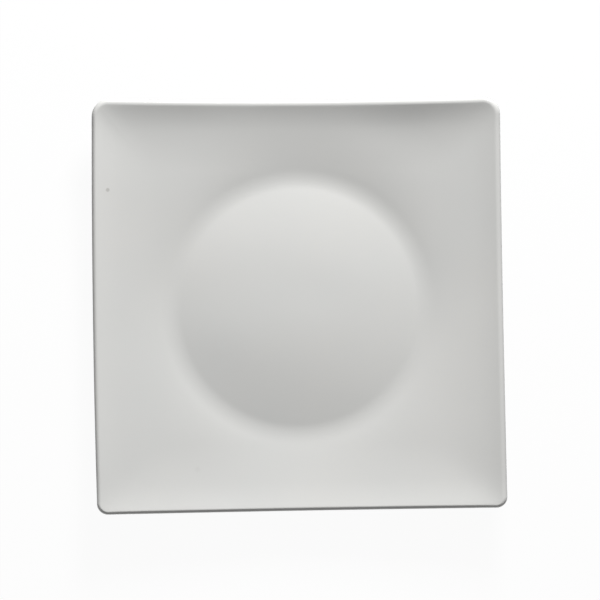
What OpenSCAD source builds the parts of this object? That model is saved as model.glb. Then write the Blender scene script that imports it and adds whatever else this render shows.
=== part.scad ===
// Square porcelain dinner plate with a crowned round centre, a rising rim and an upturned edge.
// Millimetres, +Z up. The origin is the centre of the plate, on the surface that it rests on.
// Seen from above, +Y is the back edge and -X is the left edge.

/* [Outline] */
// Width of the glazed plate across its flat sides
plate_w = 260; // [240:1:300]
// Radius of the two back corners, seen from above
back_corner_r = 11; // [6:0.5:14]
// Radius of the two front corners, seen from above
front_corner_r = 7; // [5:0.5:14]
// How far the back edge dips inwards at its middle
back_dip = 1.2; // [0:0.1:3]
// How far the left edge bows outwards at its middle
left_bow = 1.5; // [0:0.1:3]
// How far the back left corner is pulled out towards the back
back_left_pull = 3.3; // [0:0.1:4]
// How far the back right corner is pulled out towards the back
back_right_pull = 1; // [0:0.1:4]
// How far both back corners are drawn in sideways
back_taper = 0.7; // [0:0.1:2]
// How far the front left corner is pulled out towards the front
front_left_pull = 0.4; // [0:0.1:3]
// How far the front right corner is drawn in from the front
front_right_draw = 0.6; // [0:0.1:3]
// How far the front edge is shifted to the right
front_skew = 0.7; // [0:0.1:2]

/* [Centre] */
// Radius of the round crease where the crowned centre meets the rim
crease_r = 81; // [79:0.5:88]
// Height of the crown above the crease, before the crease is rounded
crown_h = 4.7; // [1:0.1:7]
// Height over which the crown and the rim blend at the crease
crease_blend = 2.7; // [0.5:0.1:4]

/* [Rim] */
// Height that the rim gains soon after the crease
rim_kick = 4.5; // [1:0.1:6]
// Distance over which that first rise dies away
rim_kick_fade = 21; // [12:1:40]
// Further rise of the rim between the crease and the middle of a side
rim_rise = 4.9; // [0:0.1:6]
// Height of the upturned edge at the middle of a side
lip_h = 4.5; // [1:0.1:6]
// Width of the band in which the edge turns up
lip_w = 42; // [20:1:42]
// Extra height of the narrow brim at the very edge
brim_h = 1.4; // [0.6:0.1:2]
// How much lower that brim is along the front edge
front_brim_drop = 0.6; // [0:0.1:0.6]
// Width of that narrow brim
brim_w = 18; // [8:1:24]

/* [Firing warp] */
// Lift of the middle of the right edge
right_lift = 2.4; // [0:0.1:4]
// Drop of the middle of the left edge
left_drop = 1.6; // [0:0.1:4]
// Lift of the back right corner
back_right_lift = 6; // [0:0.1:8]
// Lift of the back left corner
back_left_lift = 1; // [0:0.1:4]
// Lift of the two front corners
front_corner_lift = 2; // [0:0.1:6]

/* [Body] */
// Thickness of the clay wall under the rim
wall = 4.4; // [3:0.1:6]
// Distance from the edge at which its oval rounding starts
edge_round_w = 2.8; // [2.6:0.1:3.6]
// How much narrower that rounding is along the front edge
front_round_trim = 1.6; // [0:0.1:1.6]
// How much narrower that rounding is along the left edge
left_round_trim = 0.9; // [0:0.1:1]
// Extra thickness of the wall over the foot
foot_wall_extra = 0.4; // [0:0.1:2]

/* [Foot] */
// Radius of the foot ring, to the middle of the face that it stands on
foot_r = 78; // [60:0.5:80]
// Width of the foot ring at the face that it stands on
foot_land_w = 3.4; // [2.6:0.1:4]
// Width of the foot ring where it joins the body
foot_root_w = 5; // [4:0.1:7]
// Height of the foot ring
foot_h = 5; // [4.6:0.1:10]
// Rounding of the two corners of the standing face
foot_round = 0.6; // [0.2:0.1:0.9]
// Thickness of the slip that joins the foot ring to the body
slip_bed = 0.3; // [0.2:0.05:0.8]
// Radius of the bead of slip smoothed into each side of the joint
slip_bead_r = 1.8; // [1:0.1:3]

/* [Glaze] */
// Thickness of the fired glaze
glaze_t = 0.35; // [0.2:0.05:0.8]
// Height of the bare band on the sides of the foot ring
bare_h = 1.2; // [1:0.1:2]

/* [Hidden] */

// The clay body, inside its glaze
body_half_w = plate_w / 2 - glaze_t;
edge_half_t = wall / 2;
edge_square_power = 2.2;
lip_square_power = 20;

// Hairline between a skin of glaze and the clay and slip that it covers
hairline = glaze_t / 35;

// Foot ring section, from its middle radius
function foot_half_w(z) = (foot_land_w + (foot_root_w - foot_land_w) * z / foot_h) / 2;
seat_z = foot_h + slip_bed;
bead_low_z = seat_z - slip_bead_r;
bead_reach = foot_half_w(foot_h) + slip_bead_r;

// Spokes of the plate's skins: one fan of points, shared by every ring from the centre to the edge
side_steps = 7;
corner_steps = 3;
eighth_steps = side_steps + corner_steps;
spokes = 8 * eighth_steps;
round_up = 1 / cos(180 / spokes);

// Rings on the way from the centre to the edge
crown_ring_shares = [0.25, 0.5, 0.72];
crease_ring_shares = [-1, -0.42, 0, 0.42, 1];
crease_half_band = 9;
rim_ring_shares = [0.2, 0.4, 0.58, 0.74, 0.88, 1];
under_ring_shares = [0.84, 0.6, 0.32, 0];
edge_turn_shares = [0.14, 0.28, 0.4, 0.5, 0.62, 0.75, 0.88, 1];
dome_ring_shares = [0.4, 0.75];
bead_shares = [0, 0.34, 0.67, 1];

// Flat seat for the foot ring, under the body
seat_out_r = (foot_r + bead_reach + hairline) * round_up;
seat_in_r = foot_r - bead_reach - hairline;
// Rings are round out to here, past both the crease and the seat
round_r = max(crease_r + crease_half_band, seat_out_r + crease_half_band / 2);

// Edge warp starts this far out, as a share of the half width
warp_from_share = 0.72;

function above_zero(v) = max(v, 0);
function ease(t) = t * t * (3 - 2 * t);

// Height of the plate's upper side over the crease, for a point of the unwarped plan
function soft_max(a, b, k) = max(a, b) + pow(above_zero(k - abs(a - b)), 2) / (4 * k);
function crown(r) = crown_h * (1 - pow(r / crease_r, 2));
function kick(out) = rim_kick * (1 - exp(-max(out, -rim_kick_fade) / rim_kick_fade));
function rim(out) = rim_rise * out / (body_half_w - crease_r) + kick(out);
function centre_relief(r) = soft_max(crown(r), rim(r - crease_r), crease_blend);
function square_reach(u, v) =
    pow(pow(abs(u), lip_square_power) + pow(abs(v), lip_square_power), 1 / lip_square_power);
function band(inset, width) = pow(above_zero(1 - inset / width), 2);
function side_swell(u, v) =
    (1 - v * v) * (right_lift * pow(above_zero(u), 4) - left_drop * pow(above_zero(-u), 4));
function corner_swell(u, v) =
    back_right_lift * pow(above_zero(u) * above_zero(v), 2)
    + back_left_lift * pow(above_zero(-u) * above_zero(v), 2)
    + front_corner_lift * pow(u * above_zero(-v), 2);
function brim(v) = brim_h - front_brim_drop * pow(above_zero(-v), 4);
function edge_relief(u, v, inset) =
    lip_h * band(inset, lip_w) + brim(v) * band(inset, brim_w) + side_swell(u, v) + corner_swell(u, v);
function relief(p) =
    let (u = p[0] / body_half_w, v = p[1] / body_half_w)
    centre_relief(norm(p)) + edge_relief(u, v, body_half_w * (1 - square_reach(u, v)));

// Height of the crease over the ground
crease_z = seat_z + foot_wall_extra + wall - relief([seat_out_r, 0]);
function top_z(p) = crease_z + relief(p);
// Under the middle, the wall is as thick as it is over the foot
middle_wall = crease_z + relief([seat_in_r, 0]) - seat_z;

// The slightly uneven outline: moves a point of the plan, more the nearer it is to the edge
function warp_weight(u, v) = ease(above_zero(max(abs(u), abs(v)) - warp_from_share) / (1 - warp_from_share));
function warp_x(u, v) =
    front_skew * (1 - v) / 2 - back_taper * u * (1 + v) / 2 - left_bow * above_zero(-u) * (1 - v * v);
function warp_y(u, v) =
    above_zero(v) * (back_left_pull * (1 - u) / 2 + back_right_pull * (1 + u) / 2 - back_dip * (1 - u * u))
    + above_zero(-v) * (front_right_draw * (1 + u) / 2 - front_left_pull * (1 - u) / 2);
function warped(p) =
    let (u = p[0] / body_half_w, v = p[1] / body_half_w, w = warp_weight(u, v))
    p + w * [warp_x(u, v), warp_y(u, v)];

// The body's outline for one spoke: its place on the edge and the way out from it.
// Counts run from the middle of one side to the middle of the next.
function body_corner_r(i) = (i > spokes / 2 ? front_corner_r : back_corner_r) - glaze_t;
function straight_half_w(i) = body_half_w - body_corner_r(i);
function turned(p, quarter) =
    let (c = cos(90 * quarter), s = sin(90 * quarter))
    [p[0] * c - p[1] * s, p[0] * s + p[1] * c];
function quarter_step(i) = i - 2 * eighth_steps * quarter_of(i);
function quarter_of(i) = floor((i + eighth_steps) / (2 * eighth_steps));
function corner_turn(s) = 45 * above_zero(abs(s) - side_steps) / corner_steps * sign(s);
function side_place(i, s) = straight_half_w(i) * min(abs(s) / side_steps, 1) * sign(s);
function edge_way(i) = let (a = corner_turn(quarter_step(i))) turned([cos(a), sin(a)], quarter_of(i));
function edge_place(i) =
    let (s = quarter_step(i), a = corner_turn(s))
    turned(
        [straight_half_w(i) + body_corner_r(i) * cos(a), side_place(i, s) + body_corner_r(i) * sin(a)],
        quarter_of(i)
    );
function spoke_way(i) = [cos(360 * i / spokes), sin(360 * i / spokes)];

// Width of the edge's rounding for one spoke
function round_w(i) =
    edge_round_w
    - front_round_trim * above_zero(-edge_way(i)[1])
    - left_round_trim * above_zero(-edge_way(i)[0]);
// How steeply the rim climbs where it meets the rounded edge, and the place where it does
function edge_lean(i) =
    let (p = edge_place(i) - round_w(i) * edge_way(i))
    atan((top_z(p) - top_z(p - edge_half_t * edge_way(i))) / edge_half_t);
function edge_reach(w, lean) =
    let (power = edge_square_power / (edge_square_power - 1))
    pow(pow(w * cos(lean), power) + pow(edge_half_t * abs(sin(lean)), power), 1 / power);
function brow_place(i) =
    let (lean = edge_lean(i))
    edge_place(i) - (edge_reach(round_w(i), lean) + edge_half_t * sin(lean)) * edge_way(i);

// One ring of points, for each kind of place on the plate
function raised(p, z) = [p[0], p[1], z];
function round_place(i, r) = r * spoke_way(i);
function rim_place(i, share) =
    let (a = round_place(i, round_r), b = brow_place(i))
    a + share * (b - a);
function top_ring_point(p, lift) = raised(warped(p), top_z(p) + lift);
// The edge is an oval that leans with the rim, from its top (90 degrees) round to its underside (-90 degrees)
function oval_point(w, angle, coat) =
    let (
        c = abs(cos(angle)),
        s = abs(sin(angle)),
        steep = 2 / edge_square_power,
        normal = [pow(c, 2 - steep) / w, sign(angle) * pow(s, 2 - steep) / edge_half_t]
    )
    [w * pow(c, steep), sign(angle) * edge_half_t * pow(s, steep)] + coat * normal / norm(normal);
function edge_point(i, angle, coat) =
    let (
        p = brow_place(i),
        lean = edge_lean(i),
        oval = oval_point(round_w(i), angle, coat),
        along = oval[0],
        down = edge_half_t - oval[1],
        out = along * cos(lean) + down * sin(lean),
        up = along * sin(lean) - down * cos(lean)
    )
    raised(warped(p + out * edge_way(i)), top_z(p) + up);
function under_point(p, drop) = raised(warped(p), top_z(p) - wall - drop);

// The upper side, out to the edge, and the edge itself round to the underside, coat mm outside the clay
function top_rings(coat) = [
    for (share = crown_ring_shares)
        [for (i = [0:spokes - 1]) top_ring_point(round_place(i, share * crease_r), coat)],
    for (share = crease_ring_shares)
        [for (i = [0:spokes - 1]) top_ring_point(round_place(i, crease_r + share * crease_half_band), coat)],
    for (share = rim_ring_shares)
        [for (i = [0:spokes - 1]) top_ring_point(rim_place(i, share), coat)],
    for (share = edge_turn_shares)
        [for (i = [0:spokes - 1]) edge_point(i, 90 - 180 * share, coat)]
];
// The underside of the rim, in to the seat of the foot
function under_rings(coat) = [
    for (share = under_ring_shares)
        [for (i = [0:spokes - 1]) under_point(rim_place(i, share), coat)]
];
// A level ring round the foot
function level_ring(r, z) = [for (i = [0:spokes - 1]) raised(round_place(i, r), z)];
// Under the middle, from the centre out to the seat
function dome_z(r) = crease_z + relief([r, 0]) - middle_wall;
function dome_rings(coat) =
    [for (share = dome_ring_shares) level_ring(share * seat_in_r, dome_z(share * seat_in_r) - coat)];

// The hollow curve of slip between the seat and the foot's side, as [distance from the foot's middle, height]
function bead_curve(share, coat) =
    let (
        tip = [bead_reach, seat_z - coat],
        corner = [foot_half_w(seat_z) + coat, seat_z - coat],
        low = [foot_half_w(bead_low_z) + coat, bead_low_z]
    )
    pow(1 - share, 2) * tip + 2 * share * (1 - share) * corner + share * share * low;
// The same curve and the foot's side below it, down to the bare band
function foot_side(coat) = [
    for (share = bead_shares) bead_curve(share, coat),
    [foot_half_w(bare_h) + coat, bare_h]
];
function outer_foot_rings(coat) =
    [for (p = foot_side(coat)) level_ring((foot_r + p[0]) * round_up, p[1])];
function inner_foot_rings(coat) = [for (p = foot_side(coat)) level_ring(foot_r - p[0], p[1])];

function reversed(list) = [for (i = [len(list) - 1:-1:0]) list[i]];

// A closed solid from a first point, rings round the axis, and a last point.
// Bands from flip_from to flip_to are split the other way, so that they match a neighbour's facets.
module ringed_solid(first, rings, last, flip_from, flip_to) {
    ring_count = len(rings);
    end_index = 1 + ring_count * spokes;
    points = [first, for (ring = rings) each ring, last];
    function at(j, i) = 1 + j * spokes + i % spokes;
    faces = [
        for (i = [0:spokes - 1]) [0, at(0, i + 1), at(0, i)],
        for (j = [0:ring_count - 2], i = [0:spokes - 1])
            each j >= flip_from && j < flip_to
                ? [[at(j, i), at(j, i + 1), at(j + 1, i)], [at(j, i + 1), at(j + 1, i + 1), at(j + 1, i)]]
                : [[at(j, i), at(j, i + 1), at(j + 1, i + 1)], [at(j, i), at(j + 1, i + 1), at(j + 1, i)]],
        for (i = [0:spokes - 1]) [end_index, at(ring_count - 1, i), at(ring_count - 1, i + 1)]
    ];
    polyhedron(points = points, faces = faces, convexity = 6);
}

// The pressed clay slab: crowned centre, rim and upturned edge, with a flat seat for the foot
module plate_body() {
    rings = concat(
        top_rings(0),
        under_rings(0),
        [level_ring(seat_out_r, seat_z), level_ring(seat_in_r, seat_z)],
        reversed(dome_rings(0))
    );
    color("#f1f1ee")
        ringed_solid([0, 0, top_z([0, 0])], rings, [0, 0, dome_z(0)], 0, 0);
}

// The foot ring, with a bare standing face
module foot_ring() {
    round_steps = 4;
    round_inset = foot_half_w(0) - foot_round;
    rounded = [
        for (i = [0:round_steps])
            let (a = 90 * i / round_steps)
            [round_inset + foot_round * sin(a), foot_round * (1 - cos(a))]
    ];
    half = concat(rounded, [[foot_half_w(foot_h), foot_h]]);
    section = concat(
        [for (p = half) [foot_r + p[0], p[1]]],
        [for (p = reversed(half)) [foot_r - p[0], p[1]]]
    );
    color("#e6e3dc")
        rotate_extrude($fn = 180)
            polygon(section);
}

// The slip that sticks the foot to the body: a thin bed with a smoothed bead on each side
module luting_slip() {
    half = concat([for (share = bead_shares) bead_curve(share, 0)], [[foot_half_w(foot_h), foot_h]]);
    section = concat(
        [for (p = half) [foot_r + p[0], p[1]]],
        [for (p = reversed(half)) [foot_r - p[0], p[1]]]
    );
    color("#e9e6df")
        rotate_extrude($fn = 180)
            polygon(section);
}

// The coat of glaze over the top, round the edge, under the rim and down the outside of the foot
module main_glaze() {
    outer = concat(top_rings(glaze_t), under_rings(glaze_t), outer_foot_rings(glaze_t));
    inner = concat(top_rings(hairline), under_rings(hairline), outer_foot_rings(hairline));
    color("#fbfbf9")
        ringed_solid(
            [0, 0, top_z([0, 0]) + glaze_t],
            concat(outer, reversed(inner)),
            [0, 0, top_z([0, 0]) + hairline],
            len(outer),
            len(outer) + len(inner)
        );
}

// The coat of glaze inside the foot ring, on its inner side and under the middle of the plate
module recess_glaze() {
    upper = concat(dome_rings(hairline), inner_foot_rings(hairline));
    lower = concat(dome_rings(glaze_t), inner_foot_rings(glaze_t));
    color("#f7f7f4")
        ringed_solid(
            [0, 0, dome_z(0) - hairline],
            concat(upper, reversed(lower)),
            [0, 0, dome_z(0) - glaze_t],
            0,
            len(upper)
        );
}

plate_body();
foot_ring();
luting_slip();
main_glaze();
recess_glaze();
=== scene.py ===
"""A square glazed dinner plate on a white ground, seen from straight above. Metres, in the model's frame."""
import math

import bpy
import mathutils
import numpy as np
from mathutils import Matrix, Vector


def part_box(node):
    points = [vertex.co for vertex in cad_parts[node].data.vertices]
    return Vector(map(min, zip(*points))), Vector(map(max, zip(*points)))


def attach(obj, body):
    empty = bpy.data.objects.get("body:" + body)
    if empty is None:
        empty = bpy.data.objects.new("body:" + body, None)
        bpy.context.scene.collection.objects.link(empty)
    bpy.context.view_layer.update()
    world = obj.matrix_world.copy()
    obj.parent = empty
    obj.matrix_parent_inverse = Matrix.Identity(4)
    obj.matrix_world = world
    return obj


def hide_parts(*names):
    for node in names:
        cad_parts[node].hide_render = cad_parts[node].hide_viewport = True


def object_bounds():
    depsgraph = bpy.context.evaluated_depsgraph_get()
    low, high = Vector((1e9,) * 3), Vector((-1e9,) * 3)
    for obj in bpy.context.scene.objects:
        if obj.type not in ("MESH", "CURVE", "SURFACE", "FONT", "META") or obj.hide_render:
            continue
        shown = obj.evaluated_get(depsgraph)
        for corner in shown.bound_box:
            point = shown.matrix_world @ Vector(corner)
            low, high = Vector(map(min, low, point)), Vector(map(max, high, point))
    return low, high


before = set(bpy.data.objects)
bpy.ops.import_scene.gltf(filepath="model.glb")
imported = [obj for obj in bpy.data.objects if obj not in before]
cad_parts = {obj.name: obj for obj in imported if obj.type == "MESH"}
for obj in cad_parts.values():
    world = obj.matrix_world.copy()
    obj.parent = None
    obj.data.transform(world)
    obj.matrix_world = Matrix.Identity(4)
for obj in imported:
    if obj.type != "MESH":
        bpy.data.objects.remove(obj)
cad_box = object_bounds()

MM = 0.001

# Outline
PLATE_HALF_W = 130 * MM
BACK_CORNER_R = 11.0 * MM
FRONT_CORNER_R = 7.0 * MM
BACK_DIP = 1.2 * MM
LEFT_BOW = 1.5 * MM
BACK_LEFT_PULL = 3.3 * MM
BACK_RIGHT_PULL = 1.0 * MM
FRONT_LEFT_PULL = 0.4 * MM
FRONT_RIGHT_DRAW = 0.6 * MM
FRONT_SKEW = 0.7 * MM
BACK_TAPER = 0.7 * MM
WARP_FROM_SHARE = 0.72

# Relief of the upper side, over the crease
CREASE_R = 81 * MM
CROWN_H = 4.7 * MM
CREASE_BLEND = 2.7 * MM
RIM_KICK = 4.5 * MM
RIM_KICK_FADE = 21 * MM
RIM_RISE = 4.9 * MM
LIP_H = 4.5 * MM
LIP_W = 42 * MM
LIP_SQUARE_POWER = 20
BRIM_H = 1.4 * MM
BRIM_W = 18 * MM
FRONT_BRIM_DROP = 0.6 * MM
RIGHT_LIFT = 2.4 * MM
LEFT_DROP = 1.6 * MM
BACK_RIGHT_LIFT = 6.0 * MM
BACK_LEFT_LIFT = 1.0 * MM
FRONT_CORNER_LIFT = 2.0 * MM

# Broad shallow swells and dents of the pressed slab, as (x, y, half length, half width, height)
SWELLS = [
    (72 * MM, 130 * MM, 28 * MM, 15 * MM, 1.2 * MM),
    (-84 * MM, 130 * MM, 36 * MM, 16 * MM, 0.7 * MM),
    (75 * MM, -136 * MM, 30 * MM, 24 * MM, 0.4 * MM),
    (50 * MM, 97 * MM, 26 * MM, 13 * MM, 0.3 * MM),
    (-130 * MM, -134 * MM, 30 * MM, 26 * MM, -0.8 * MM),
    (-10 * MM, -28 * MM, 44 * MM, 26 * MM, 0.4 * MM),
    (-48 * MM, -12 * MM, 24 * MM, 24 * MM, 0.4 * MM),
    (-45 * MM, 35 * MM, 24 * MM, 24 * MM, 0.3 * MM),
    (10 * MM, 8 * MM, 22 * MM, 18 * MM, -0.3 * MM),
    (-60 * MM, -60 * MM, 16 * MM, 24 * MM, 0.3 * MM),
]

# Faint waves of the glazed surface, as (length, height, turn, phase), which fade out at the edge
RIPPLES = [
    (71 * MM, 0.030 * MM, 0.4, 0.3),
    (58 * MM, 0.024 * MM, 1.9, 1.7),
    (47 * MM, 0.016 * MM, 2.8, 4.1),
    (36 * MM, 0.010 * MM, 1.2, 2.2),
]
RIPPLE_EDGE = 12 * MM

# Walls, foot and glaze
WALL = 4.4 * MM
FOOT_WALL_EXTRA = 0.4 * MM
GLAZE_T = 0.35 * MM
# A hair of room between each skin and its neighbour. The visible coat is two hairs thinner than the
# solid's, so that it never leaves the model's box.
HAIRLINE = GLAZE_T / 10
SHOWN_COAT = GLAZE_T - 2 * HAIRLINE
BARE_H = 1.2 * MM
FOOT_ROUND = 0.6 * MM
FOOT_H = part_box("foot_ring")[1][2]
SEAT_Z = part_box("luting_slip")[1][2]
FOOT_R = 78 * MM
FOOT_ROOT_HALF_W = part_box("foot_ring")[1][0] - FOOT_R
FOOT_LAND_HALF_W = 1.7 * MM
SLIP_BEAD_R = 1.8 * MM
BODY_HALF_W = PLATE_HALF_W - GLAZE_T
EDGE_HALF_T = WALL / 2
EDGE_ROUND_W = 2.8 * MM
FRONT_ROUND_TRIM = 1.6 * MM
LEFT_ROUND_TRIM = 0.9 * MM
EDGE_SQUARE_POWER = 2.2

# How finely the skins are drawn
SIDE_STEPS = 40
CORNER_STEPS = 12
EIGHTH_STEPS = SIDE_STEPS + CORNER_STEPS
SPOKES = 8 * EIGHTH_STEPS
CROWN_RINGS = 16
CREASE_RINGS = 18
RIM_RINGS = 30
EDGE_RINGS = 9
UNDER_RINGS = 14
DOME_RINGS = 10
BEAD_RINGS = 8
CREASE_HALF_BAND = 12 * MM
UNDER_START_SHARE = 0.88
LAND_STEPS = 8

# Colours of the glaze, and its specks as (centre, radius, strength)
GLAZE_COOL = (0.690, 0.693, 0.678)
GLAZE_WARM = (0.705, 0.703, 0.684)
SPECK_COLOUR = (0.16, 0.13, 0.11)
SPECKS = [
    ((-120.0 * MM, 75.6 * MM), 1.7 * MM, 0.32),
    ((-65.5 * MM, -102.7 * MM), 2.5 * MM, 0.04),
]
SPECK_CORE_SHARE = 0.4

# Textures of the glaze: how many cells of noise fit in a metre, and what they change
GLAZE_CLOUDS = 14.0
GLAZE_GLOSS_PATCHES = 60.0
GLAZE_ROUGHNESS = (0.19, 0.22)
GLAZE_DIMPLES = 320.0
GLAZE_DIMPLE_DEPTH = 0.008 * MM
GLAZE_IOR = 1.5

# Textures of the unglazed clays
CLAY_CLOUD_GRAINS = 8
CLAY_ROUGHNESS_SPREAD = 0.06

# The middle range of a noise, where most of its values lie
NOISE_RANGE = (0.3, 0.7)

# The photograph's frame: its size, the plate's centre and turn in it, and its scale
PHOTO_PX = 600
CENTRE_PX = (298.5, 306.3)
PX_PER_M = 1577
PHOTO_TURN = math.radians(0.8)
CAMERA_DISTANCE = 2.6
CAMERA_SENSOR_MM = 36
CAMERA_REACH = 20
CAMERA_LEAN_FRONT = math.radians(0.5)
CAMERA_LEAN_LEFT = math.radians(0.5)
RIM_HEIGHT_SHARE = 0.75
RIM_Z = cad_box[1][2] * RIM_HEIGHT_SHARE

# The key light is a soft box low behind the plate and a little to the right
KEY_ZENITH = math.radians(57)
KEY_TURN = math.radians(13)
KEY_AIM = (-0.3, 0.0, 0.0)
KEY_DISTANCE = 1.25
KEY_SIZE = 0.35
KEY_POWER = 20.35
WORLD_LEVEL = 0.155

# The ground: its colour where it is seen and where it only throws light back, and how far it is plain white
FLOOR_HALF_W = 4.0
FLOOR_PALE = (0.95, 0.95, 0.95)
FLOOR_BOUNCE = (0.3, 0.3, 0.3)
FLOOR_WHITE_SHARE = 0.95


def above_zero(v):
    return np.maximum(v, 0.0)


def ripple(x, y):
    """The faint unevenness that every hand-finished glazed surface has."""
    total = 0.0
    for length, height, turn, phase in RIPPLES:
        along = x * math.cos(turn) + y * math.sin(turn)
        total = total + height * np.sin(2 * math.pi * along / length + phase)
    return total


def relief(x, y):
    """Height of the upper side over the crease, for a point of the unwarped plan."""
    r = np.hypot(x, y)
    out = r - CREASE_R
    crown = CROWN_H * (1 - (r / CREASE_R) ** 2)
    kick = RIM_KICK * (1 - np.exp(-np.maximum(out, -RIM_KICK_FADE) / RIM_KICK_FADE))
    rim = RIM_RISE * out / (BODY_HALF_W - CREASE_R) + kick
    blend = above_zero(CREASE_BLEND - abs(crown - rim)) ** 2 / (4 * CREASE_BLEND)
    u, v = x / BODY_HALF_W, y / BODY_HALF_W
    reach = (abs(u) ** LIP_SQUARE_POWER + abs(v) ** LIP_SQUARE_POWER) ** (1 / LIP_SQUARE_POWER)
    inset = BODY_HALF_W * (1 - reach)
    brim_h = BRIM_H - FRONT_BRIM_DROP * above_zero(-v) ** 4
    lip = LIP_H * above_zero(1 - inset / LIP_W) ** 2 + brim_h * above_zero(1 - inset / BRIM_W) ** 2
    sides = (1 - v * v) * (RIGHT_LIFT * above_zero(u) ** 4 - LEFT_DROP * above_zero(-u) ** 4)
    corners = BACK_RIGHT_LIFT * (above_zero(u) * above_zero(v)) ** 2
    corners = corners + BACK_LEFT_LIFT * (above_zero(-u) * above_zero(v)) ** 2
    corners = corners + FRONT_CORNER_LIFT * (u * above_zero(-v)) ** 2
    return np.maximum(crown, rim) + blend + lip + sides + corners


def swell(x, y):
    """The broad unevenness of the slab, the sum of rounded bumps and hollows."""
    total = 0.0
    for centre_x, centre_y, length, width, height in SWELLS:
        total = total + height * np.exp(-((x - centre_x) / length) ** 2 - ((y - centre_y) / width) ** 2)
    return total


def foot_half_w(z):
    return FOOT_LAND_HALF_W + (FOOT_ROOT_HALF_W - FOOT_LAND_HALF_W) * z / FOOT_H


BEAD_REACH = FOOT_ROOT_HALF_W + SLIP_BEAD_R
SEAT_OUT_R = FOOT_R + BEAD_REACH
SEAT_IN_R = FOOT_R - BEAD_REACH
ROUND_R = CREASE_R + CREASE_HALF_BAND
CREASE_Z = SEAT_Z + FOOT_WALL_EXTRA + WALL - float(relief(SEAT_OUT_R, 0.0))
MIDDLE_WALL = CREASE_Z + float(relief(SEAT_IN_R, 0.0)) - SEAT_Z


def top_z(x, y):
    """Height of the clay's upper side over the ground, without the ripples."""
    return CREASE_Z + relief(x, y) + swell(x, y)


MIDDLE_Z = float(top_z(0.0, 0.0) + ripple(0.0, 0.0))


def warped(x, y):
    """The slightly uneven outline: moves a point of the plan, more the nearer it is to the edge."""
    u, v = x / BODY_HALF_W, y / BODY_HALF_W
    t = above_zero(np.maximum(abs(u), abs(v)) - WARP_FROM_SHARE) / (1 - WARP_FROM_SHARE)
    weight = t * t * (3 - 2 * t)
    move_x = FRONT_SKEW * (1 - v) / 2 - BACK_TAPER * u * (1 + v) / 2
    move_x = move_x - LEFT_BOW * above_zero(-u) * (1 - v * v)
    back = BACK_LEFT_PULL * (1 - u) / 2 + BACK_RIGHT_PULL * (1 + u) / 2 - BACK_DIP * (1 - u * u)
    front = FRONT_RIGHT_DRAW * (1 + u) / 2 - FRONT_LEFT_PULL * (1 - u) / 2
    return x + weight * move_x, y + weight * (above_zero(v) * back + above_zero(-v) * front)


# Spokes: one fan of points from the centre to the edge, shared by every ring
spoke = np.arange(SPOKES)
spoke_turn = 2 * math.pi * spoke / SPOKES
quarter = np.floor((spoke + EIGHTH_STEPS) / (2 * EIGHTH_STEPS))
quarter_step = spoke - 2 * EIGHTH_STEPS * quarter
corner_turn = math.pi / 4 * above_zero(abs(quarter_step) - SIDE_STEPS) / CORNER_STEPS
corner_turn = corner_turn * np.sign(quarter_step)
body_corner_r = np.where(spoke > SPOKES / 2, FRONT_CORNER_R, BACK_CORNER_R) - GLAZE_T
straight_half_w = BODY_HALF_W - body_corner_r
side_place = straight_half_w * np.minimum(abs(quarter_step) / SIDE_STEPS, 1) * np.sign(quarter_step)


def quarter_turned(x, y):
    c, s = np.cos(quarter * math.pi / 2), np.sin(quarter * math.pi / 2)
    return x * c - y * s, x * s + y * c


way_x, way_y = quarter_turned(np.cos(corner_turn), np.sin(corner_turn))
edge_x, edge_y = quarter_turned(
    straight_half_w + body_corner_r * np.cos(corner_turn), side_place + body_corner_r * np.sin(corner_turn)
)

# Width of the edge's rounding, how steeply the rim climbs where it starts, and the place where it does
round_w = EDGE_ROUND_W - FRONT_ROUND_TRIM * above_zero(-way_y) - LEFT_ROUND_TRIM * above_zero(-way_x)
near_x, near_y = edge_x - round_w * way_x, edge_y - round_w * way_y
climb = top_z(near_x, near_y) - top_z(near_x - EDGE_HALF_T * way_x, near_y - EDGE_HALF_T * way_y)
edge_lean = np.arctan(climb / EDGE_HALF_T)
lean_cos, lean_sin = np.cos(edge_lean), np.sin(edge_lean)
EDGE_REACH_POWER = EDGE_SQUARE_POWER / (EDGE_SQUARE_POWER - 1)
reach_along = (round_w * lean_cos) ** EDGE_REACH_POWER
reach_across = (EDGE_HALF_T * abs(lean_sin)) ** EDGE_REACH_POWER
edge_reach = (reach_along + reach_across) ** (1 / EDGE_REACH_POWER) + EDGE_HALF_T * lean_sin
brow_x = edge_x - edge_reach * way_x
brow_y = edge_y - edge_reach * way_y


def ring(x, y, z):
    return np.stack([x, y, z + 0 * x], axis=1)


def level_ring(r, z):
    return ring(r * np.cos(spoke_turn), r * np.sin(spoke_turn), z)


def round_place(r):
    return r * np.cos(spoke_turn), r * np.sin(spoke_turn)


def rim_place(share):
    x, y = round_place(ROUND_R)
    return x + share * (brow_x - x), y + share * (brow_y - y)


def top_ring(place, coat):
    x, y = place
    fade = np.clip((BODY_HALF_W - np.maximum(abs(x), abs(y))) / RIPPLE_EDGE, 0, 1)
    return ring(*warped(x, y), top_z(x, y) + coat + fade * ripple(x, y))


def edge_ring(turn, coat):
    """A ring of the rounded edge, an oval that leans with the rim. A quarter turn is its top."""
    c, s, side = abs(math.cos(turn)), abs(math.sin(turn)), math.copysign(1, turn)
    steep = 2 / EDGE_SQUARE_POWER
    normal_along, normal_across = c ** (2 - steep) / round_w, side * s ** (2 - steep) / EDGE_HALF_T
    normal_size = np.hypot(normal_along, normal_across)
    along = round_w * c ** steep + coat * normal_along / normal_size
    across = side * EDGE_HALF_T * s ** steep + coat * normal_across / normal_size
    out = along * lean_cos + (EDGE_HALF_T - across) * lean_sin
    up = along * lean_sin - (EDGE_HALF_T - across) * lean_cos
    x, y = warped(brow_x + out * way_x, brow_y + out * way_y)
    return ring(x, y, top_z(brow_x, brow_y) + up)


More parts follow.
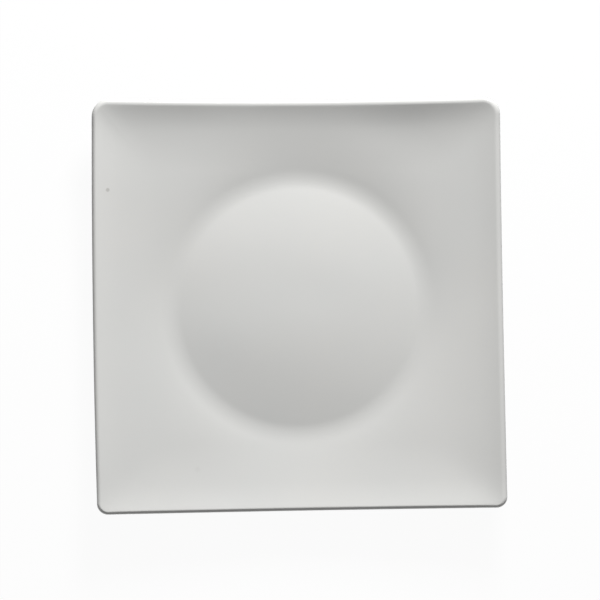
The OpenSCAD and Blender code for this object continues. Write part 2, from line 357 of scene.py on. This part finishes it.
def under_ring(share, coat):
    x, y = rim_place(share)
    return ring(*warped(x, y), top_z(x, y) - WALL - coat)


def top_rings(coat):
    rings = []
    for i in range(1, CROWN_RINGS):
        rings.append(top_ring(round_place((CREASE_R - CREASE_HALF_BAND) * i / CROWN_RINGS), coat))
    for i in range(CREASE_RINGS):
        r = CREASE_R + CREASE_HALF_BAND * (2 * i / CREASE_RINGS - 1)
        rings.append(top_ring(round_place(r), coat))
    for i in range(RIM_RINGS + 1):
        rings.append(top_ring(rim_place(i / RIM_RINGS), coat))
    for i in range(1, 2 * EDGE_RINGS + 1):
        rings.append(edge_ring(math.pi / 2 * (1 - i / EDGE_RINGS), coat))
    return rings


def under_rings(coat):
    return [under_ring(UNDER_START_SHARE * (1 - i / UNDER_RINGS), coat) for i in range(UNDER_RINGS + 1)]


def dome_z(r):
    return CREASE_Z + float(relief(r, 0.0)) - MIDDLE_WALL


def dome_rings(coat):
    radii = [SEAT_IN_R * i / DOME_RINGS for i in range(1, DOME_RINGS)]
    return [level_ring(r, dome_z(r) - coat) for r in radii]


def bead_curve(share, coat):
    """The hollow curve of slip from the seat to the foot's side: distance from the foot's middle, height."""
    low_z = SEAT_Z - SLIP_BEAD_R
    tip = (BEAD_REACH, SEAT_Z - coat)
    corner = (foot_half_w(SEAT_Z) + coat, SEAT_Z - coat)
    low = (foot_half_w(low_z) + coat, low_z)
    rest = 1 - share
    return [rest * rest * a + 2 * share * rest * b + share * share * c for a, b, c in zip(tip, corner, low)]


def foot_side(coat):
    curve = [bead_curve(i / BEAD_RINGS, coat) for i in range(BEAD_RINGS + 1)]
    return curve + [[foot_half_w(BARE_H) + coat, BARE_H]]


def outer_foot_rings(coat):
    return [level_ring(FOOT_R + reach, z) for reach, z in foot_side(coat)]


def inner_foot_rings(coat):
    return [level_ring(FOOT_R - reach, z) for reach, z in foot_side(coat)]


def new_piece(name, points, faces, node, material):
    mesh = bpy.data.meshes.new(name)
    mesh.from_pydata(points, [], faces)
    mesh.validate()
    mesh.update()
    mesh.polygons.foreach_set("use_smooth", [True] * len(mesh.polygons))
    mesh.materials.append(material)
    piece = bpy.data.objects.new(name, mesh)
    bpy.context.scene.collection.objects.link(piece)
    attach(piece, "root")
    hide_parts(node)
    return piece


def ringed_piece(name, first_z, rings, last_z, node, material):
    """A closed skin from a point on the axis, through the rings, to another point on the axis."""
    points = [(0.0, 0.0, first_z)]
    for points_of_ring in rings:
        points += points_of_ring.tolist()
    points.append((0.0, 0.0, last_z))
    end = len(points) - 1
    faces = []
    for i in range(SPOKES):
        j = (i + 1) % SPOKES
        faces.append((0, 1 + i, 1 + j))
        for k in range(len(rings) - 1):
            a, b = 1 + k * SPOKES, 1 + (k + 1) * SPOKES
            faces.append((a + i, b + i, b + j, a + j))
        last = 1 + (len(rings) - 1) * SPOKES
        faces.append((end, last + j, last + i))
    return new_piece(name, points, faces, node, material)


def turned_piece(name, section, node, material):
    """A solid of revolution from a closed section of (radius, height) points."""
    rings = [level_ring(r, z) for r, z in section]
    points = np.concatenate(rings).tolist()
    faces = []
    count = len(section)
    for k in range(count):
        a, b = k * SPOKES, ((k + 1) % count) * SPOKES
        for i in range(SPOKES):
            j = (i + 1) % SPOKES
            faces.append((a + i, a + j, b + j, b + i))
    return new_piece(name, points, faces, node, material)


def new_material(name):
    material = bpy.data.materials.new(name)
    material.use_nodes = True
    tree = material.node_tree
    return material, tree, tree.nodes["Principled BSDF"]


def add_node(tree, kind, **settings):
    node = tree.nodes.new(kind)
    for name, value in settings.items():
        setattr(node, name, value)
    return node


def noise(tree, scale, detail):
    place = add_node(tree, "ShaderNodeTexCoord")
    node = add_node(tree, "ShaderNodeTexNoise")
    tree.links.new(place.outputs["Object"], node.inputs["Vector"])
    node.inputs["Scale"].default_value = scale
    node.inputs["Detail"].default_value = detail
    return node


def ramp(tree, source, low, high):
    """Spreads a noise's middle range over values from low to high."""
    node = add_node(tree, "ShaderNodeMapRange")
    tree.links.new(source, node.inputs["Value"])
    node.inputs["From Min"].default_value, node.inputs["From Max"].default_value = NOISE_RANGE
    node.inputs["To Min"].default_value = low
    node.inputs["To Max"].default_value = high
    return node.outputs["Result"]


def mix_colour(tree, share, low, high):
    node = add_node(tree, "ShaderNodeMix", data_type="RGBA")
    tree.links.new(share, node.inputs["Factor"])
    for name, value in (("A", low), ("B", high)):
        socket = [s for s in node.inputs if s.name == name and s.type == "RGBA"][0]
        if isinstance(value, tuple):
            socket.default_value = (*value, 1.0)
        else:
            tree.links.new(value, socket)
    return [s for s in node.outputs if s.type == "RGBA"][0]


def add_bump(tree, shader, height, distance):
    node = add_node(tree, "ShaderNodeBump")
    node.inputs["Strength"].default_value = 1.0
    node.inputs["Distance"].default_value = distance
    tree.links.new(height, node.inputs["Height"])
    tree.links.new(node.outputs["Normal"], shader.inputs["Normal"])


def spot(tree, centre, radius):
    """1 on a small round mark of the upper side, 0 elsewhere."""
    place = add_node(tree, "ShaderNodeTexCoord")
    distance = add_node(tree, "ShaderNodeVectorMath", operation="DISTANCE")
    tree.links.new(place.outputs["Object"], distance.inputs[0])
    distance.inputs[1].default_value = (*centre, float(top_z(*centre)) + GLAZE_T)
    node = add_node(tree, "ShaderNodeMapRange", interpolation_type="SMOOTHSTEP")
    tree.links.new(distance.outputs["Value"], node.inputs["Value"])
    node.inputs["From Min"].default_value = radius
    node.inputs["From Max"].default_value = SPECK_CORE_SHARE * radius
    return node.outputs["Result"]


def glaze_material():
    material, tree, shader = new_material("white_glaze")
    cloud = noise(tree, GLAZE_CLOUDS, detail=3.0).outputs["Fac"]
    colour = mix_colour(tree, ramp(tree, cloud, 0.0, 1.0), GLAZE_COOL, GLAZE_WARM)
    for centre, radius, strength in SPECKS:
        mark = spot(tree, centre, radius)
        share = add_node(tree, "ShaderNodeMath", operation="MULTIPLY")
        tree.links.new(mark, share.inputs[0])
        share.inputs[1].default_value = strength
        colour = mix_colour(tree, share.outputs["Value"], colour, SPECK_COLOUR)
    tree.links.new(colour, shader.inputs["Base Color"])
    gloss = noise(tree, GLAZE_GLOSS_PATCHES, detail=2.0).outputs["Fac"]
    tree.links.new(ramp(tree, gloss, *GLAZE_ROUGHNESS), shader.inputs["Roughness"])
    shader.inputs["IOR"].default_value = GLAZE_IOR
    add_bump(tree, shader, noise(tree, GLAZE_DIMPLES, detail=2.0).outputs["Fac"], GLAZE_DIMPLE_DEPTH)
    return material


def clay_material(name, low, high, roughness, grain, depth):
    """An unglazed clay with a mottled colour. grain is how many of its grains fit in a metre."""
    material, tree, shader = new_material(name)
    share = ramp(tree, noise(tree, grain / CLAY_CLOUD_GRAINS, detail=4.0).outputs["Fac"], 0.0, 1.0)
    tree.links.new(mix_colour(tree, share, low, high), shader.inputs["Base Color"])
    smoothest, roughest = roughness - CLAY_ROUGHNESS_SPREAD, roughness + CLAY_ROUGHNESS_SPREAD
    rough = ramp(tree, noise(tree, grain, detail=2.0).outputs["Fac"], smoothest, roughest)
    tree.links.new(rough, shader.inputs["Roughness"])
    add_bump(tree, shader, noise(tree, grain, detail=5.0).outputs["Fac"], depth)
    return material


def make_glaze_coat(glaze):
    """The coat over the top, round the edge, under the rim and down the outside of the foot."""
    outside = top_rings(SHOWN_COAT) + under_rings(SHOWN_COAT) + outer_foot_rings(SHOWN_COAT)
    inside = top_rings(HAIRLINE) + under_rings(HAIRLINE) + outer_foot_rings(HAIRLINE)
    first_z, last_z = MIDDLE_Z + SHOWN_COAT, MIDDLE_Z + HAIRLINE
    ringed_piece("glaze_coat", first_z, outside + inside[::-1], last_z, "main_glaze", glaze)


def make_clay_slab(clay):
    seat = [level_ring(SEAT_OUT_R, SEAT_Z), level_ring(SEAT_IN_R, SEAT_Z)]
    rings = top_rings(0.0) + under_rings(0.0) + seat + dome_rings(0.0)[::-1]
    ringed_piece("clay_slab", MIDDLE_Z, rings, dome_z(0.0), "plate_body", clay)


def make_recess_coat(glaze):
    """The coat inside the foot ring and under the middle of the plate."""
    above = dome_rings(HAIRLINE) + inner_foot_rings(HAIRLINE)
    below = dome_rings(SHOWN_COAT) + inner_foot_rings(SHOWN_COAT)
    first_z, last_z = dome_z(0.0) - HAIRLINE, dome_z(0.0) - SHOWN_COAT
    ringed_piece("recess_coat", first_z, above + below[::-1], last_z, "recess_glaze", glaze)


def both_sides(half):
    """A section that is the same on both sides of the foot's middle radius."""
    outer = [(FOOT_R + reach, z) for reach, z in half]
    inner = [(FOOT_R - reach, z) for reach, z in reversed(half)]
    return inner + outer


def make_foot(bare):
    land_inset = FOOT_LAND_HALF_W - FOOT_ROUND
    half = [(foot_half_w(FOOT_H), FOOT_H)]
    for i in range(LAND_STEPS, -1, -1):
        turn = math.pi / 2 * i / LAND_STEPS
        half.append((land_inset + FOOT_ROUND * math.sin(turn), FOOT_ROUND * (1 - math.cos(turn))))
    turned_piece("foot", both_sides(half[::-1])[::-1], "foot_ring", bare)


def make_slip_joint(slip):
    half = [(foot_half_w(FOOT_H), FOOT_H)]
    for i in range(BEAD_RINGS, -1, -1):
        half.append(tuple(bead_curve(i / BEAD_RINGS, 0.0)))
    turned_piece("slip_joint", both_sides(half)[::-1], "luting_slip", slip)


def make_plate():
    glaze = glaze_material()
    clay = clay_material(
        "porcelain_body",
        low=(0.72, 0.71, 0.68), high=(0.76, 0.75, 0.73),
        roughness=0.6, grain=900.0, depth=0.02 * MM,
    )
    bare = clay_material(
        "bare_foot",
        low=(0.60, 0.57, 0.51), high=(0.70, 0.68, 0.63),
        roughness=0.75, grain=1400.0, depth=0.05 * MM,
    )
    slip = clay_material(
        "slip",
        low=(0.68, 0.67, 0.63), high=(0.73, 0.72, 0.69),
        roughness=0.65, grain=900.0, depth=0.03 * MM,
    )
    make_glaze_coat(glaze)
    make_clay_slab(clay)
    make_recess_coat(glaze)
    make_foot(bare)
    make_slip_joint(slip)


def make_camera():
    data = bpy.data.cameras.new("camera")
    data.sensor_width = CAMERA_SENSOR_MM
    data.lens = data.sensor_width * CAMERA_DISTANCE * PX_PER_M / PHOTO_PX
    data.clip_end = CAMERA_REACH
    camera = bpy.data.objects.new("camera", data)
    bpy.context.scene.collection.objects.link(camera)
    back = mathutils.Vector((-math.sin(CAMERA_LEAN_LEFT), -math.sin(CAMERA_LEAN_FRONT), 1.0)).normalized()
    right = mathutils.Vector((math.cos(PHOTO_TURN), -math.sin(PHOTO_TURN), 0.0))
    right = (right - right.dot(back) * back).normalized()
    up = back.cross(right)
    off_x = (PHOTO_PX / 2 - CENTRE_PX[0]) / PX_PER_M
    off_y = (CENTRE_PX[1] - PHOTO_PX / 2) / PX_PER_M
    target = mathutils.Vector((0.0, 0.0, RIM_Z)) + off_x * right + off_y * up
    place = mathutils.Matrix((right, up, back)).transposed().to_4x4()
    place.translation = target + CAMERA_DISTANCE * back
    camera.matrix_world = place
    bpy.context.scene.camera = camera


def make_light():
    data = bpy.data.lights.new("key", "AREA")
    data.shape = "SQUARE"
    data.size = KEY_SIZE
    data.energy = KEY_POWER
    key = bpy.data.objects.new("key", data)
    bpy.context.scene.collection.objects.link(key)
    flat = math.sin(KEY_ZENITH)
    way = mathutils.Vector((flat * math.sin(KEY_TURN), flat * math.cos(KEY_TURN), math.cos(KEY_ZENITH)))
    key.location = KEY_DISTANCE * way
    away = key.location - mathutils.Vector(KEY_AIM)
    key.rotation_euler = away.to_track_quat("Z", "Y").to_euler()


def seen_directly(tree):
    """1 for what the camera sees, straight, reflected or through glass. 0 for light that falls on things."""
    path = add_node(tree, "ShaderNodeLightPath")
    total = path.outputs["Is Camera Ray"]
    for name in ("Is Glossy Ray", "Is Transmission Ray"):
        node = add_node(tree, "ShaderNodeMath", operation="MAXIMUM")
        tree.links.new(total, node.inputs[0])
        tree.links.new(path.outputs[name], node.inputs[1])
        total = node.outputs["Value"]
    return total


def make_world():
    world = bpy.data.worlds.new("studio")
    bpy.context.scene.world = world
    world.use_nodes = True
    tree = world.node_tree
    background = tree.nodes["Background"]
    background.inputs["Color"].default_value = (1.0, 1.0, 1.0, 1.0)
    level = add_node(tree, "ShaderNodeMapRange")
    level.inputs["To Min"].default_value = WORLD_LEVEL
    level.inputs["To Max"].default_value = 1.0
    tree.links.new(seen_directly(tree), level.inputs["Value"])
    tree.links.new(level.outputs["Result"], background.inputs["Strength"])


def make_floor():
    """A white ground that keeps a faint shadow."""
    mesh = bpy.data.meshes.new("floor")
    h = FLOOR_HALF_W
    mesh.from_pydata([(-h, -h, 0), (h, -h, 0), (h, h, 0), (-h, h, 0)], [], [(0, 1, 2, 3)])
    floor = bpy.data.objects.new("floor", mesh)
    bpy.context.scene.collection.objects.link(floor)
    material, tree, shader = new_material("floor")
    seen = seen_directly(tree)
    tree.links.new(mix_colour(tree, seen, FLOOR_BOUNCE, FLOOR_PALE), shader.inputs["Base Color"])
    shader.inputs["Roughness"].default_value = 1.0
    white = add_node(tree, "ShaderNodeEmission")
    white.inputs["Strength"].default_value = 1.0
    share = add_node(tree, "ShaderNodeMath", operation="MULTIPLY")
    tree.links.new(seen, share.inputs[0])
    share.inputs[1].default_value = FLOOR_WHITE_SHARE
    blend = add_node(tree, "ShaderNodeMixShader")
    tree.links.new(share.outputs["Value"], blend.inputs["Fac"])
    tree.links.new(shader.outputs["BSDF"], blend.inputs[1])
    tree.links.new(white.outputs["Emission"], blend.inputs[2])
    tree.links.new(blend.outputs["Shader"], tree.nodes["Material Output"].inputs["Surface"])
    mesh.materials.append(material)


make_plate()
make_camera()
make_light()
make_world()
make_floor()
bpy.context.scene.view_settings.view_transform = "Standard"
